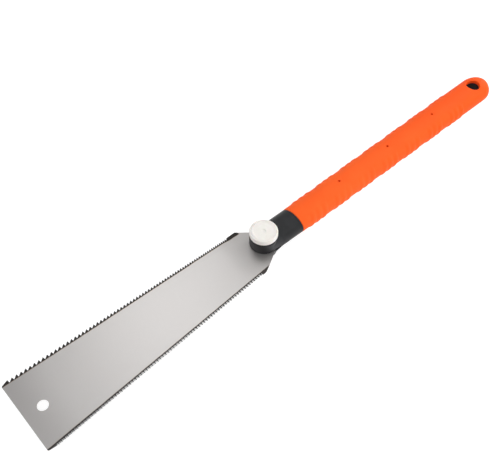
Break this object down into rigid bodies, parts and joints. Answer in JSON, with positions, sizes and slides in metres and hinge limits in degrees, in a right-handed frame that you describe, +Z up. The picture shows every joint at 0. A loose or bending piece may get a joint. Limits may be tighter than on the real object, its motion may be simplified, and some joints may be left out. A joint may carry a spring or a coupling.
{
  "type": "double-edged pull saw",
  "caption": "Double-edged pull saw with a thin flaring steel blade clamped in a forked handle by a round knob, so that the blade swivels and lifts out, and a ribbed soft grip with a hang hole.",
  "frame": {"origin": "on the table under the middle of the saw's box, the saw lying flat", "axes": "+X from the blade's tip to the handle's end, +Y towards the rip edge, +Z up through the knob"},
  "size_m": [0.6612, 0.0819, 0.0318],
  "materials": {
    "blade_steel": "fine cross-ground satin, teeth blued dark by impulse hardening",
    "core_plastic": "satin glass-filled nylon, fine spark texture",
    "grip_rubber": "satin thermoplastic rubber with raised ribs on both flanks",
    "fastener_steel": "zinc plated",
    "disc_fibre": "matt black fibre",
    "insert_brass": "turned",
    "knob_plastic": "satin cream plastic"
  },
  "bodies": {
    "handle": {"handle_core": "core_plastic", "grip_overmould": "grip_rubber", "clamp_bolt": "fastener_steel", "bolt_cover": "core_plastic", "pivot_bush": "fastener_steel", "friction_disc_upper": "disc_fibre", "friction_disc_lower": "disc_fibre", "wave_spring": "fastener_steel"},
    "blade": {"saw_blade": "blade_steel"},
    "knob_seat": {"thrust_washer": "fastener_steel"},
    "knob": {"knob_body": "knob_plastic", "knob_cap": "knob_plastic", "knob_insert": "insert_brass"}
  },
  "joints": [
    {"name": "blade_swivel", "type": "hinge", "parent": "handle", "child": "blade", "pos_m": [-0.0469, 0, 0.0105], "axis": [0, 0, 1], "range_deg": [-75, 75]},
    {"name": "knob_lift", "type": "slide", "parent": "handle", "child": "knob_seat", "axis": [0, 0, 1], "range_m": [0, 0.003]},
    {"name": "knob_turn", "type": "hinge", "parent": "knob_seat", "child": "knob", "pos_m": [-0.0469, 0, 0.0287], "axis": [0, 0, 1], "range_deg": [0, 1080]}
  ],
  "couplings": [
    {"joint": "knob_turn", "follows": "knob_lift", "rad_per_m": 6283.2}
  ]
}
